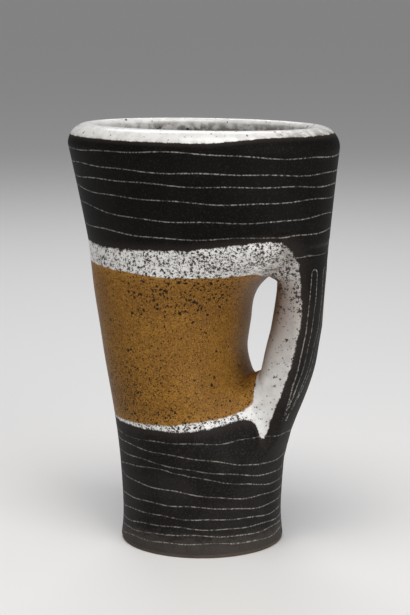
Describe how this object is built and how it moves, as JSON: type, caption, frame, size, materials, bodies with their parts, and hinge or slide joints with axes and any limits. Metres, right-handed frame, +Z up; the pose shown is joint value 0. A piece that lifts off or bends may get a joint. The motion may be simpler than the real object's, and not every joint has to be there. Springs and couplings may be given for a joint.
{
  "type": "beer mug",
  "caption": "Tall stoneware beer mug with an oval mouth, a waist pushed in at one side and a strap handle over it.",
  "frame": {"origin": "centre of the foot, on the surface the mug stands on", "axes": "+Z up through the mouth, +X towards the strap handle, +Y to the side that makes a right-handed frame"},
  "size_m": [0.1085, 0.0802, 0.165],
  "materials": {
    "stoneware_clay": "unglazed, fine grain",
    "white_glaze": "satin gloss with black specks",
    "black_slip": "satin matt with scratched lines",
    "ochre_glaze": "satin with dark specks"
  },
  "bodies": {
    "root": {"floor_slab": "stoneware_clay", "thrown_wall": "stoneware_clay", "handle_strap": "stoneware_clay", "liner_glaze": "white_glaze", "upper_slip_band": "black_slip", "upper_white_margin": "white_glaze", "ochre_glaze": "ochre_glaze", "lower_white_margin": "white_glaze", "lower_slip_band": "black_slip", "handle_white_glaze": "white_glaze", "handle_slip_stripe": "black_slip"}
  },
  "joints": []
}
